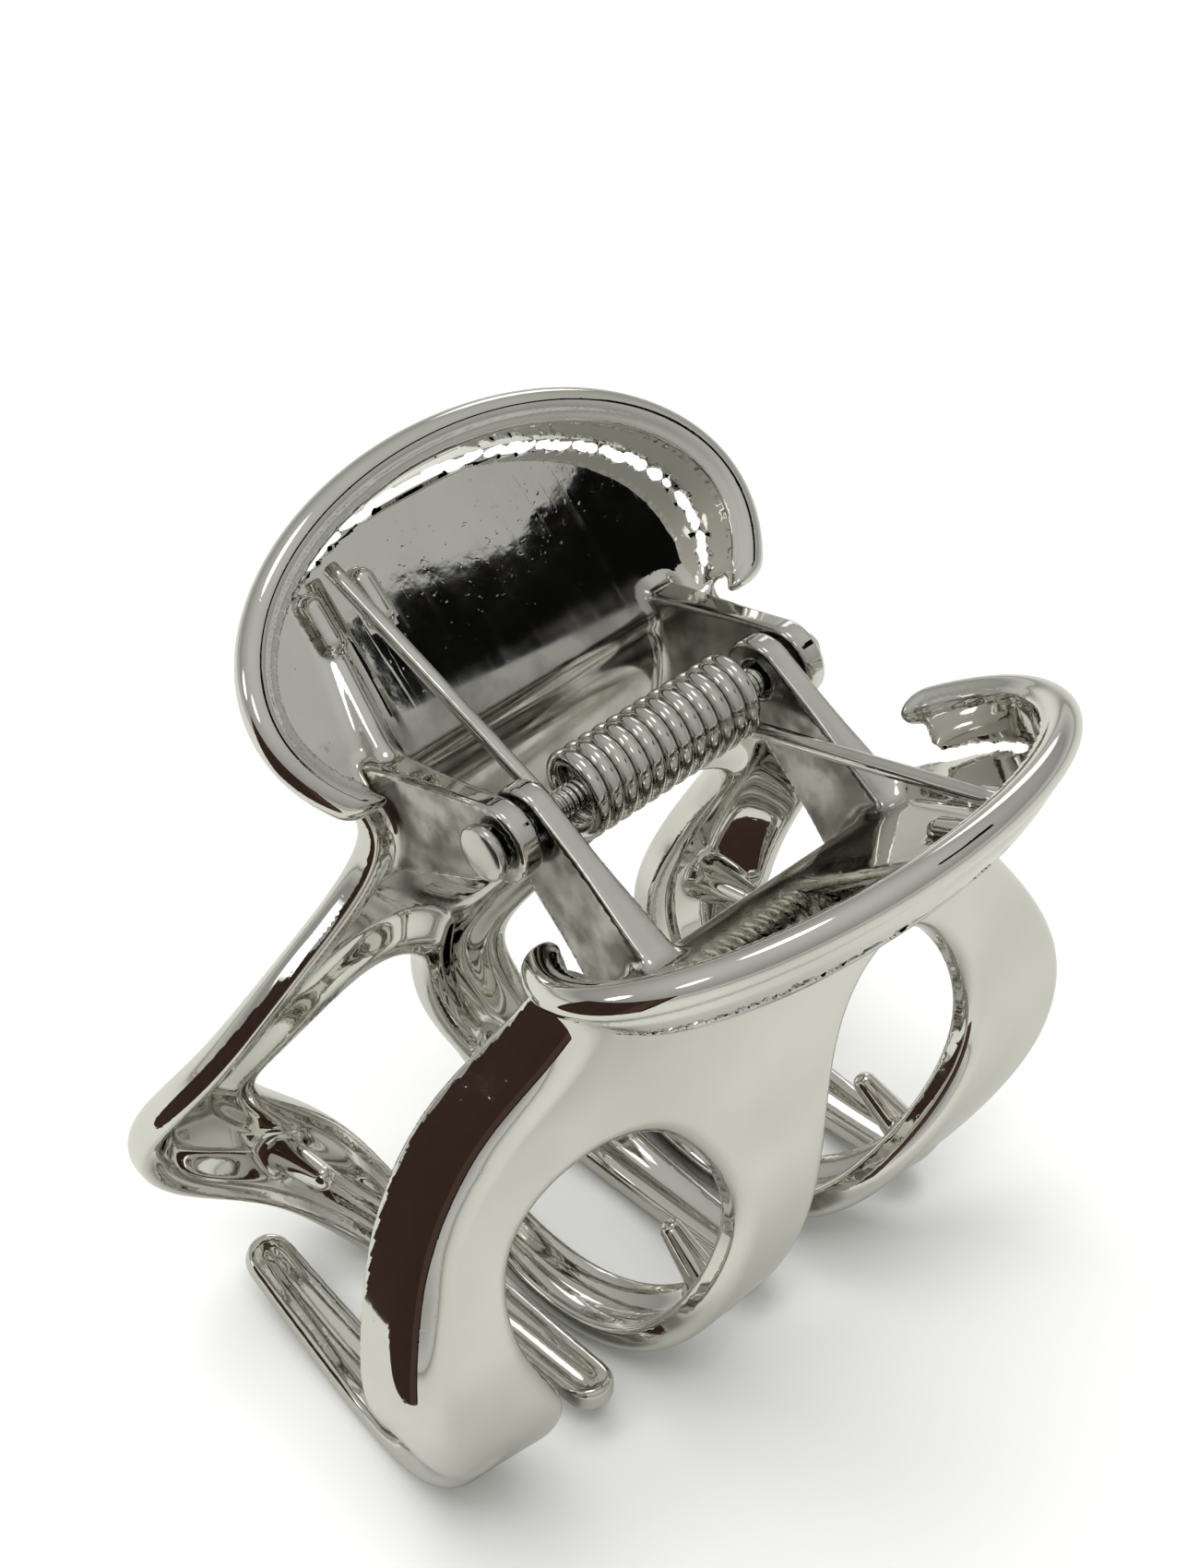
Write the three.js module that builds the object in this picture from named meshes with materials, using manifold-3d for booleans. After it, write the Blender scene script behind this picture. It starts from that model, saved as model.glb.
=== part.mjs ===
// Metal claw hair clip: two cast jaws on a headed hinge pin, closed by a torsion spring.
// Millimetres, +Z up. The clip stands on its fingers: the origin is under its middle, at their height.
// Each jaw is drawn in its own frame: the hinge axis is X through the origin, its handle leans to -Y,
// and its wall hangs below the hinge. The rear jaw is the same shape turned half round about Z, with
// its ears set wider so that the front jaw's ears fit between them.
import * as THREE from 'three'
import { TessellateModifier } from 'three/addons/modifiers/TessellateModifier.js'
import { mergeVertices } from 'three/addons/utils/BufferGeometryUtils.js'
import Module from 'manifold-3d'

const HINGE_HEIGHT = 42.08 // hinge axis above the finger undersides
const PLATE = 2.0 // wall and finger thickness
const EDGE_ROUND = 0.45
const FACET = 4.5 // longest facet edge on the bent wall

const EAR_THICKNESS = 1.5
const FRONT_EAR_X = 8.35 // middle of an ear of the front jaw, inside the rear jaw's ears
const REAR_EAR_X = 10.15
// Side outline of an ear: corners as (y, z), then a round nose about the hinge, in degrees
const EAR_CORNERS = [[-9.9, -1.8], [-8.2, -8.6], [-1.2, -3.7]]
const EAR_NOSE = { radius: 2.2, from: 278, to: 470 }
const PIN_RADIUS = 0.8
const PIN_CLEARANCE = 0.3
const PIN_HEAD = { radius: 1.55, x: -11.9, thickness: 0.7 }
const PIN_END = 12.1
const PIN_TAIL = { radius: 0.95, x: 11.2 }
const PIN_HEAD_CHAMFER = 0.15
const PIN_TAIL_CHAMFER = { inward: 0.35, end: 0.1, side: 0.5 }

const HANDLE = { y: -10.7, z: 2.1, lean: 56, halfWidth: 15.9, halfHeight: 9.75 }
const RIM_RADIUS = 1.0
const DISH_DEPTH = 2.6
const DISH_WALL = 1.3
const DISH_END = -4.6 // the dish stops here, measured along its height, where the wall begins
// Half section of the dish as (distance from its middle, height), between rim bead and middle
const DISH_FLOOR = [[8.1, -1.6], [6.6, -2.4], [4, -DISH_DEPTH]]
const DISH_BACK = [[5.4, -DISH_DEPTH - DISH_WALL], [8.4, -3.0], [9.6, -1.9]]
const RIM_ARC = { from: -54, to: 216 } // degrees of the bead that stand clear of the dish

const WIRE_RADIUS = 0.45
const COIL = { radius: 1.95, left: -5.7, right: 6.15, turns: 12, sides: 6, steps: 190 }
const COIL_SAMPLES = 24 // path points per turn
const LEG = { x: 7.3, along: 6.5, depth: 1.4 } // where a spring leg ends on the dish floor
const LEG_RIDGE = { radius: 0.8, length: 2.0, aside: 1.7, below: 2.4, sunk: 0.35, tall: 1.4 }

const TIP_S = 58.8 // arc length of a fingertip's centre along the wall
const TIP_RADIUS = 1.5
const FINGERTIPS = [-17.4, -4.4, 9.1]

const wasm = await Module()
wasm.setup()

// --- solids ------------------------------------------------------------------------------------

function solid (geometry) {
  const bare = new THREE.BufferGeometry()
  bare.setAttribute('position', geometry.getAttribute('position').clone())
  if (geometry.index) bare.setIndex(geometry.index.clone())
  const welded = mergeVertices(bare, 1e-3)
  const kept = []
  const index = welded.index.array
  for (let i = 0; i < index.length; i += 3) {
    const [a, b, c] = [index[i], index[i + 1], index[i + 2]]
    if (a !== b && b !== c && c !== a) kept.push(a, b, c)
  }
  return new wasm.Manifold(new wasm.Mesh({
    numProp: 3,
    vertProperties: new Float32Array(welded.getAttribute('position').array),
    triVerts: new Uint32Array(kept)
  }))
}

function geometryOf (manifold) {
  const mesh = manifold.getMesh()
  const geometry = new THREE.BufferGeometry()
  geometry.setAttribute('position', new THREE.BufferAttribute(mesh.vertProperties, 3))
  geometry.setIndex(new THREE.BufferAttribute(mesh.triVerts, 1))
  geometry.computeVertexNormals()
  return geometry
}

// --- the bent wall with its three arms and fingers ------------------------------------------------

// Side profile of the wall's middle surface: dish floor, wall, belly, then in along the fingers.
const PROFILE = new THREE.SplineCurve([
  [-10.8, -1.7], [-8.7, -3.5], [-7.9, -7.5], [-8.2, -12.4], [-9.4, -17.8], [-11.6, -23.1],
  [-12.8, -28.4], [-12.1, -33.8], [-8.9, -38.6], [-3.6, -40.9], [3.6, -40.7], [11.8, -38.9]
].map(([y, z]) => new THREE.Vector2(y, z)))
PROFILE.arcLengthDivisions = 50 * PROFILE.points.length
const PROFILE_LENGTH = PROFILE.getLength()

function bend (x, s, inward) {
  const u = THREE.MathUtils.clamp(s / PROFILE_LENGTH, 0, 1)
  const p = PROFILE.getPointAt(u)
  const t = PROFILE.getTangentAt(u)
  const past = s - u * PROFILE_LENGTH
  return [x, p.x + past * t.x - inward * t.y, p.y + past * t.y + inward * t.x]
}

// Flat outline of the wall as (x, arc length). Each list is one smooth edge.
const RIGHT_EDGE = [
  [12.8, 4.2], [17.3, 10.1], [22.2, 16.5], [24.9, 24], [23, 30.5], [16.8, 36.5], [11.9, 44]
]
const RIGHT_ARCH = [
  [7.7, 43.5], [10.8, 34], [16.3, 26.2], [16.5, 19.2], [11.7, 15], [6.3, 20], [2.7, 31], [-1.6, 42]
]
const LEFT_ARCH = [
  [-6.4, 43], [-4.2, 32], [-2.5, 25], [-5, 18.6], [-10.5, 15.2], [-16.2, 17.8], [-17.4, 24.3],
  [-14.6, 32], [-15.1, 43]
]
const LEFT_EDGE = [
  [-20.3, 43], [-22.6, 33], [-24.9, 24], [-22.2, 16.5], [-17.3, 10.1], [-12.8, 4.2]
]
const NECK_HALF_WIDTH = 13.9

function wallOutline () {
  const toPoints = list => list.map(([x, s]) => new THREE.Vector2(x, s))
  const shape = new THREE.Shape()
  const [left, middle, right] = FINGERTIPS
  const runTo = (edge, x, s) => shape.splineThru([...toPoints(edge), new THREE.Vector2(x, s)])
  const tip = x => shape.absarc(x, TIP_S, TIP_RADIUS, 0, Math.PI, false)
  shape.moveTo(NECK_HALF_WIDTH, 0)
  runTo(RIGHT_EDGE, right + TIP_RADIUS, TIP_S)
  tip(right)
  runTo(RIGHT_ARCH, middle + TIP_RADIUS, TIP_S)
  tip(middle)
  runTo(LEFT_ARCH, left + TIP_RADIUS, TIP_S)
  tip(left)
  runTo(LEFT_EDGE, -NECK_HALF_WIDTH, 0)
  return shape
}

function wall () {
  const flat = new THREE.ExtrudeGeometry(wallOutline(), {
    depth: PLATE - 2 * EDGE_ROUND,
    curveSegments: 2,
    bevelThickness: EDGE_ROUND,
    bevelSize: EDGE_ROUND,
    bevelOffset: -EDGE_ROUND,
    bevelSegments: 1
  })
  flat.translate(0, 0, EDGE_ROUND - PLATE / 2)
  const fine = new TessellateModifier(FACET, 12).modify(flat)
  const position = fine.getAttribute('position')
  for (let i = 0; i < position.count; i++) {
    position.setXYZ(i, ...bend(position.getX(i), position.getY(i), position.getZ(i)))
  }
  return solid(fine)
}

// --- the handle dish ------------------------------------------------------------------------------

// Dish frame: x as the jaw's, `along` up the handle, `out` from its open face towards the hinge side.
function handleFrame () {
  const lean = THREE.MathUtils.degToRad(HANDLE.lean)
  const along = new THREE.Vector3(0, -Math.sin(lean), Math.cos(lean))
  const out = new THREE.Vector3(0, Math.cos(lean), Math.sin(lean))
  const frame = new THREE.Matrix4().makeBasis(new THREE.Vector3(-1, 0, 0), along, out)
  return frame.setPosition(0, HANDLE.y, HANDLE.z)
}

function dishSection () {
  const rim = new THREE.EllipseCurve(HANDLE.halfHeight, 0, RIM_RADIUS, RIM_RADIUS,
    THREE.MathUtils.degToRad(RIM_ARC.from), THREE.MathUtils.degToRad(RIM_ARC.to))
  const floor = [...DISH_FLOOR, [0, -DISH_DEPTH]]
  const back = [[0, -DISH_DEPTH - DISH_WALL], ...DISH_BACK]
  return [...back.map(p => new THREE.Vector2(...p)), ...rim.getPoints(6),
    ...floor.map(p => new THREE.Vector2(...p))]
}

function dish () {
  const lathe = new THREE.LatheGeometry(dishSection(), 32)
  lathe.rotateX(Math.PI / 2)
  const position = lathe.getAttribute('position')
  const stretch = HANDLE.halfWidth - HANDLE.halfHeight
  for (let i = 0; i < position.count; i++) {
    const [x, y] = [position.getX(i), position.getY(i)]
    const radius = Math.hypot(x, y)
    const share = Math.min(radius / HANDLE.halfHeight, 1)
    const aside = radius > 0 ? x / radius * stretch * share : 0
    position.setX(i, x + aside)
  }
  const cutter = new THREE.BoxGeometry(60, 20, 20).translate(0, DISH_END - 10, 0)
  lathe.applyMatrix4(handleFrame())
  cutter.applyMatrix4(handleFrame())
  return solid(lathe).subtract(solid(cutter))
}

// Two ridges on the dish floor that hold the end of a spring leg between them.
function legRidges () {
  const ridge = offset => {
    const bar = new THREE.CapsuleGeometry(LEG_RIDGE.radius, LEG_RIDGE.length, 3, 8)
    bar.scale(1, 1, LEG_RIDGE.tall)
    bar.translate(-LEG.x + offset, LEG.along - LEG_RIDGE.below, -DISH_DEPTH + LEG_RIDGE.sunk)
    return solid(bar.applyMatrix4(handleFrame()))
  }
  return ridge(-LEG_RIDGE.aside).add(ridge(LEG_RIDGE.aside))
}

// --- ears, pegs ------------------------------------------------------------------------------------

function ear (x) {
  const shape = new THREE.Shape(EAR_CORNERS.map(p => new THREE.Vector2(...p)))
  shape.absarc(0, 0, EAR_NOSE.radius, THREE.MathUtils.degToRad(EAR_NOSE.from),
    THREE.MathUtils.degToRad(EAR_NOSE.to), false)
  shape.closePath()
  const bore = new THREE.Path()
  bore.absarc(0, 0, PIN_RADIUS + PIN_CLEARANCE, 0, 2 * Math.PI, true)
  shape.holes.push(bore)
  const plate = new THREE.ExtrudeGeometry(shape, {
    depth: EAR_THICKNESS, curveSegments: 8, bevelEnabled: false
  })
  const turn = new THREE.Matrix4().makeBasis(
    new THREE.Vector3(0, 1, 0), new THREE.Vector3(0, 0, 1), new THREE.Vector3(1, 0, 0))
  turn.setPosition(x - EAR_THICKNESS / 2, 0, 0)
  return solid(plate.applyMatrix4(turn))
}

const PEG_LENGTH = 5.2
const PEG_RADIUS = { tip: 0.75, root: 1.5 }
const PEGS = [[-19.6, 33.5], [-1.0, 36.5], [14.6, 34]] // (x, arc length) of each hair peg's root

function peg (x, s) {
  const cone = new THREE.CylinderGeometry(PEG_RADIUS.tip, PEG_RADIUS.root, PEG_LENGTH, 10)
  cone.translate(0, PEG_LENGTH / 2, 0)
  const root = new THREE.Vector3(...bend(x, s, 0))
  const aim = new THREE.Vector3(...bend(x, s, 1)).sub(root)
  const turn = new THREE.Matrix4().makeRotationFromQuaternion(
    new THREE.Quaternion().setFromUnitVectors(new THREE.Vector3(0, 1, 0), aim.normalize()))
  return solid(cone.applyMatrix4(turn.setPosition(root)))
}

function jaw (earX) {
  let body = wall().add(dish()).add(legRidges())
  for (const x of [-earX, earX]) body = body.add(ear(x))
  for (const [x, s] of PEGS) body = body.add(peg(x, s))
  return geometryOf(body)
}

// --- pin and spring ----------------------------------------------------------------------------------

function hingePin () {
  const { radius, x: head, thickness } = PIN_HEAD
  const { inward, end, side } = PIN_TAIL_CHAMFER
  const profile = [
    [0, head], [radius - PIN_HEAD_CHAMFER, head], [radius, head + PIN_HEAD_CHAMFER],
    [radius, head + thickness], [PIN_RADIUS, head + thickness],
    [PIN_RADIUS, PIN_TAIL.x], [PIN_TAIL.radius, PIN_TAIL.x],
    [PIN_TAIL.radius, PIN_END - side], [PIN_TAIL.radius - inward, PIN_END - end], [0, PIN_END]
  ]
  const lathe = new THREE.LatheGeometry(profile.map(p => new THREE.Vector2(...p)), 28)
  return geometryOf(solid(lathe.rotateZ(-Math.PI / 2)))
}

// End of the front leg in the front jaw's frame; the rear leg's end is its half-turn copy.
function legEnd () {
  return new THREE.Vector3(-LEG.x, LEG.along, -LEG.depth).applyMatrix4(handleFrame())
}

function springPath () {
  const end = legEnd()
  const lift = Math.atan2(end.z + COIL.radius, -end.y)
  const sweep = COIL.turns * 2 * Math.PI + 2 * lift
  const onCoil = share => {
    const angle = share * sweep - lift
    return new THREE.Vector3(
      THREE.MathUtils.lerp(COIL.left, COIL.right, share),
      -COIL.radius * Math.sin(angle), -COIL.radius * Math.cos(angle))
  }
  const count = COIL.turns * COIL_SAMPLES
  const helix = Array.from({ length: count + 1 }, (_, i) => onCoil(i / count))
  const coil = new THREE.CatmullRomCurve3(helix)
  coil.arcLengthDivisions = count * 4
  const path = new THREE.CurvePath()
  path.add(new THREE.LineCurve3(new THREE.Vector3(-end.x, -end.y, end.z), helix[0]))
  path.add(coil)
  path.add(new THREE.LineCurve3(helix[count], end))
  return path
}

function torsionSpring () {
  const section = new THREE.Shape()
  for (let i = 0; i < COIL.sides; i++) {
    const angle = i / COIL.sides * 2 * Math.PI
    const corner = [WIRE_RADIUS * Math.cos(angle), WIRE_RADIUS * Math.sin(angle)]
    if (i === 0) section.moveTo(...corner)
    else section.lineTo(...corner)
  }
  section.closePath()
  const wire = new THREE.ExtrudeGeometry(section, { steps: COIL.steps, extrudePath: springPath() })
  return geometryOf(solid(wire))
}

// --- the assembly ------------------------------------------------------------------------------------

const clip = new THREE.Group()
const onHinge = new THREE.Group()
onHinge.position.z = HINGE_HEIGHT
clip.add(onHinge)

function place (name, geometry, color, roughness) {
  const mesh = new THREE.Mesh(
    geometry, new THREE.MeshStandardMaterial({ color, roughness, metalness: 1 }))
  mesh.name = name
  onHinge.add(mesh)
  return mesh
}

place('front_jaw', jaw(FRONT_EAR_X), 0xb9b9b1, 0.15)
place('rear_jaw', jaw(REAR_EAR_X), 0xb9b9b1, 0.15).rotation.z = Math.PI
place('hinge_pin', hingePin(), 0xaaaaa4, 0.25)
place('torsion_spring', torsionSpring(), 0xc4c4bd, 0.12)

export default clip
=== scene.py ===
"""Metal claw hair clip: two plated cast jaws on a headed hinge pin, closed by a torsion spring.

Shapes are worked out in millimetres in a jaw's own frame: the hinge axis is X through the origin,
the handle leans to -Y and the wall hangs below the hinge. The rear jaw is the same shape turned
half round about Z, with its ears further apart.
"""
import math

import bpy
import numpy as np
from mathutils import Matrix, Vector

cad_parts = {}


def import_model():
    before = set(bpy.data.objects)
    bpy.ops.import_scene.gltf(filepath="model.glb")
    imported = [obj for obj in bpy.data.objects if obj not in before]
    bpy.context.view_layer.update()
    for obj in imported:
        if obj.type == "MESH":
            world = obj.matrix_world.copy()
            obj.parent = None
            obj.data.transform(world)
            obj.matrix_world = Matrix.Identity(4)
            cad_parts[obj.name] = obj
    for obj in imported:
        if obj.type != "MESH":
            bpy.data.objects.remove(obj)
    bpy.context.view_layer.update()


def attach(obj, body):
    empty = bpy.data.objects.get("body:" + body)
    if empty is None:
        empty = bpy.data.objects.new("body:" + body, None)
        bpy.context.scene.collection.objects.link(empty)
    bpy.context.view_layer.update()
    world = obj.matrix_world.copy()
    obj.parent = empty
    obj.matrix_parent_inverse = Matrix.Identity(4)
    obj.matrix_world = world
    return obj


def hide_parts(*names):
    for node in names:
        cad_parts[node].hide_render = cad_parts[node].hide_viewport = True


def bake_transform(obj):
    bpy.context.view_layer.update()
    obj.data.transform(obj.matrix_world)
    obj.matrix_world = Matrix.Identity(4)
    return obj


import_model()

MM = 0.001
HINGE_HEIGHT = 42.08

# The jaw: a bent wall with three fingers
PROFILE = [
    (-10.8, -1.7), (-8.7, -3.5), (-7.9, -7.5), (-8.2, -12.4), (-9.4, -17.8), (-11.6, -23.1),
    (-12.8, -28.4), (-12.1, -33.8), (-8.9, -38.6), (-3.6, -40.9), (3.6, -40.7), (11.8, -38.9),
]
NECK_HALF_WIDTH = 13.9
TIP_S = 58.8
TIP_RADIUS = 1.5
FINGERTIPS = (-17.4, -4.4, 9.1)
RIGHT_EDGE = [
    (12.4, 4.2), (16.8, 10.1), (22.1, 16.5), (24.9, 24), (23, 30.5), (16.8, 36.5), (11.9, 44),
]
RIGHT_ARCH = [
    (7.7, 43.5), (10.8, 34), (16.3, 26.2), (16.5, 19.2), (11.7, 15), (6.3, 20), (2.7, 31),
    (-1.6, 42),
]
LEFT_ARCH = [
    (-6.4, 43), (-4.2, 32), (-2.5, 25), (-5, 18.6), (-10.5, 15.2), (-16.2, 17.8), (-17.4, 24.3),
    (-14.6, 32), (-15.1, 43),
]
LEFT_EDGE = [(-20.3, 43), (-22.6, 33), (-24.9, 24), (-22.2, 16.5), (-17.3, 10.1), (-12.8, 4.2)]
WALL_TOP = -1.0  # the wall ends here inside the dish floor, as an arc length
MAP_TOP = -7.5  # its outline runs on to here, so that no rim crosses its end
HALF_PLATE = 1.0

HANDLE_Y, HANDLE_Z = -10.7, 2.1
HANDLE_LEAN = math.radians(56)
HANDLE_HALF_WIDTH = 15.9
HANDLE_HALF_HEIGHT = 9.75
DISH_END = -4.6
RIM_END = -5.5
DISH_DEPTH = 2.6
DISH_WALL = 1.3
RIM_RADIUS = 1.0

EAR_X = {"front": 8.35, "rear": 10.15}
EAR_HALF_THICKNESS = (0.7, 1.0)  # at the hinge and at its root
EAR_CORNERS = [(-9.9, -1.8), (-8.2, -8.6), (-1.2, -3.7), (0.3, -2.18), (-0.74, 2.07)]
EAR_ROUND = 2.2
EAR_BORE = 1.1
PEGS = [(-19.6, 33.5), (-1.0, 36.5), (14.6, 34)]
PEG_LENGTH = 5.2
PEG_ROOT_RADIUS, PEG_TIP_RADIUS = 1.25, 0.75
PEG_SUNK = 0.4  # how far inward of the wall's middle a peg's root starts
RIB_FOOT, RIB_HEAD = (10.0, -4.2, -2.3), (9.0, 2.6, -2.5)  # as x, along and out of the handle
RIB_RADII = (0.7, 0.15)
NUB_RADIUS = 0.75
NUB_ASIDE = 1.7  # from the spring leg between the two nubs
NUB_BELOW = (3.4, 1.4)  # a nub's ends, below the end of the leg
NUB_SUNK = 0.3
LEG_X, LEG_ALONG, LEG_DEPTH = 7.3, 6.5, 1.4

GRID = 0.26  # spacing of the net drawn over a casting


# --- small mathematics ---------------------------------------------------------------------------


def smooth_step(low, high, value):
    t = np.clip((value - low) / (high - low), 0, 1)
    return t * t * (3 - 2 * t)


def mix(a, b, share):
    return a + (b - a) * share


def join(a, b, fillet):
    """The union of two solids given as distances, with a fillet between them."""
    h = np.clip(0.5 + 0.5 * (b - a) / fillet, 0, 1)
    return mix(b, a, h) - fillet * h * (1 - h)


def cut(a, b, fillet):
    """What two solids have in common, with a softened edge."""
    return -join(-a, -b, fillet)


def round_corner(a, b, radius):
    """What two half spaces have in common, with their edge rounded to a true radius."""
    qa, qb = a + radius, b + radius
    outside = np.hypot(np.maximum(qa, 0), np.maximum(qb, 0))
    return outside + np.minimum(np.maximum(qa, qb), 0) - radius


def smooth_curve(points, spacing):
    """Samples the curve of continuous curvature through some points, at an equal spacing."""
    points = np.array(points, float)
    knots = np.concatenate([[0], np.cumsum(np.linalg.norm(np.diff(points, axis=0), axis=1))])
    step, count = np.diff(knots), len(knots)
    system, right = np.eye(count), np.zeros_like(points)
    for i in range(1, count - 1):
        system[i, i - 1:i + 2] = step[i - 1], 2 * (step[i - 1] + step[i]), step[i]
        after = (points[i + 1] - points[i]) / step[i]
        right[i] = 6 * (after - (points[i] - points[i - 1]) / step[i - 1])
    bends = np.linalg.solve(system, right)
    at = np.linspace(0, knots[-1], int(knots[-1] / spacing * 4))
    cell = np.clip(np.searchsorted(knots, at, side="right") - 1, 0, count - 2)
    width = step[cell][:, None]
    a = (knots[cell + 1] - at)[:, None] / width
    b = 1 - a
    line = a * points[cell] + b * points[cell + 1]
    line += ((a**3 - a) * bends[cell] + (b**3 - b) * bends[cell + 1]) * width**2 / 6
    length = np.concatenate([[0], np.cumsum(np.linalg.norm(np.diff(line, axis=0), axis=1))])
    even = np.linspace(0, length[-1], max(2, round(length[-1] / spacing) + 1))
    return np.stack([np.interp(even, length, line[:, i]) for i in range(2)], axis=1)


# --- the wall's side view: from a point to (arc length, inward offset) ---------------------------

S_STEP = 0.05
S_BEFORE = 160  # samples of straight run added before the profile
S_AFTER = 120


def profile_table():
    """The profile's points, directions and curvature, one every S_STEP, run on straight."""
    line = smooth_curve(PROFILE, S_STEP)
    first, last = line[1] - line[0], line[-1] - line[-2]
    before = line[0] - first * np.arange(S_BEFORE, 0, -1)[:, None]
    after = line[-1] + last * np.arange(1, S_AFTER + 1)[:, None]
    line = np.vstack([before, line, after])
    ahead = np.gradient(line, axis=0)
    ahead /= np.linalg.norm(ahead, axis=1)[:, None]
    turn = np.gradient(ahead, axis=0) / S_STEP
    curvature = turn[:, 1] * ahead[:, 0] - turn[:, 0] * ahead[:, 1]
    soft = np.ones(21) / 21
    curvature = np.convolve(curvature, soft, mode="same")
    return np.column_stack([line, ahead, curvature])


TABLE = profile_table()
S_LOW = -S_BEFORE * S_STEP
S_HIGH = S_LOW + (len(TABLE) - 1) * S_STEP


def on_profile(s):
    u = np.clip((s - S_LOW) / S_STEP, 0, len(TABLE) - 1.001)
    cell = u.astype(int)
    share = (u - cell)[..., None]
    return mix(TABLE[cell], TABLE[cell + 1], share)


NEAR_STEP = 0.25
NEAR_LOW = np.array([-24.0, -46.0])
NEAR_COUNT = (160, 230)


def nearest_samples():
    """The arc length of the profile's nearest point, over a coarse grid of the side view."""
    line = TABLE[::4, :2]
    y = NEAR_LOW[0] + NEAR_STEP * np.arange(NEAR_COUNT[0])
    z = NEAR_LOW[1] + NEAR_STEP * np.arange(NEAR_COUNT[1])
    near = np.empty(NEAR_COUNT)
    for i, value in enumerate(y):
        far = (line[:, 0, None] - value) ** 2 + (line[:, 1, None] - z) ** 2
        near[i] = S_LOW + 4 * S_STEP * far.argmin(axis=0)
    return near


NEAR = nearest_samples()


def unbend(y, z):
    """Arc length s along the wall and offset w inward from its middle surface."""
    i = np.clip(np.rint((y - NEAR_LOW[0]) / NEAR_STEP), 0, NEAR_COUNT[0] - 1).astype(int)
    j = np.clip(np.rint((z - NEAR_LOW[1]) / NEAR_STEP), 0, NEAR_COUNT[1] - 1).astype(int)
    s = NEAR[i, j]
    for _ in range(3):
        row = on_profile(s)
        dy, dz = y - row[..., 0], z - row[..., 1]
        ahead = dy * row[..., 2] + dz * row[..., 3]
        w = dz * row[..., 2] - dy * row[..., 3]
        s = s + np.clip(ahead / np.maximum(1 - row[..., 4] * w, 0.35), -0.5, 0.5)
        s = np.clip(s, S_LOW, S_HIGH)
    row = on_profile(s)
    return s, (z - row[..., 1]) * row[..., 2] - (y - row[..., 0]) * row[..., 3]


def bend(x, s, w):
    row = on_profile(np.array(float(s)))
    return np.array([x, row[0] - w * row[3], row[1] + w * row[2]])


# --- the wall's flat outline ---------------------------------------------------------------------

MAP_STEP = 0.25
MAP_X, MAP_S = -27.5, -8.0
MAP_COUNT = (221, 288)


def outline_runs():
    """The outline's two outer sides, its two arches and its fingertips, each as a list of lines."""
    left, middle, right = FINGERTIPS
    neck = (NECK_HALF_WIDTH, 0)
    run = lambda *points: smooth_curve(points, 0.4)
    tip = lambda x: [
        (x + TIP_RADIUS * math.cos(a), TIP_S + TIP_RADIUS * math.sin(a))
        for a in np.linspace(0, math.pi, 9)
    ]
    sides = [
        run(neck, *RIGHT_EDGE, (right + TIP_RADIUS, TIP_S)),
        run((left - TIP_RADIUS, TIP_S), *LEFT_EDGE, (-neck[0], 0)),
    ]
    arches = [
        run((right - TIP_RADIUS, TIP_S), *RIGHT_ARCH, (middle + TIP_RADIUS, TIP_S)),
        run((middle - TIP_RADIUS, TIP_S), *LEFT_ARCH, (left + TIP_RADIUS, TIP_S)),
    ]
    top = [np.array([(-neck[0], 0), (-neck[0], MAP_TOP), (neck[0], MAP_TOP), neck])]
    return sides, arches, [np.array(tip(x)) for x in (right, middle, left)], top


def line_distance(lines, x, s, crossings=None):
    best = np.full(x.shape, 1e9)
    for line in lines:
        for (ax, ay), (bx, by) in zip(line[:-1], line[1:]):
            ex, ey = bx - ax, by - ay
            t = np.clip(((x - ax) * ex + (s - ay) * ey) / (ex * ex + ey * ey), 0, 1)
            best = np.minimum(best, (x - ax - t * ex) ** 2 + (s - ay - t * ey) ** 2)
            if crossings is not None and ay != by:
                crosses = (ay > s) != (by > s)
                crossings ^= crosses & (x < ax + (s - ay) * ex / ey)
    return np.sqrt(best)


def soften(values, rounds):
    for _ in range(rounds):
        for axis in (0, 1):
            edge = [(2, 2) if i == axis else (0, 0) for i in range(2)]
            wide = np.pad(values, edge, mode="edge")
            part = lambda i: np.take(wide, range(i, i + values.shape[axis]), axis=axis)
            values = (part(0) + 4 * part(1) + 6 * part(2) + 4 * part(3) + part(4)) / 16
    return values


def outline_maps():
    """Over (x, s): distance in from the outline's edge, and how near that edge is an outer side."""
    x = MAP_X + MAP_STEP * np.arange(MAP_COUNT[0])[:, None] + np.zeros(MAP_COUNT)
    s = MAP_S + MAP_STEP * np.arange(MAP_COUNT[1])[None, :] + np.zeros(MAP_COUNT)
    sides, arches, tips, top = outline_runs()
    inside = np.zeros(MAP_COUNT, bool)
    to_side = line_distance(sides, x, s, inside)
    to_arch = line_distance(arches, x, s, inside)
    to_end = line_distance(tips + top, x, s, inside)
    edge = np.minimum(np.minimum(to_side, to_arch), to_end) * np.where(inside, 1, -1)
    share = smooth_step(0.25, 0.75, to_arch / (to_arch + to_side + 1e-6))
    return soften(edge, 1), soften(share, 3)


EDGE_MAP, SIDE_MAP = outline_maps()


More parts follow.
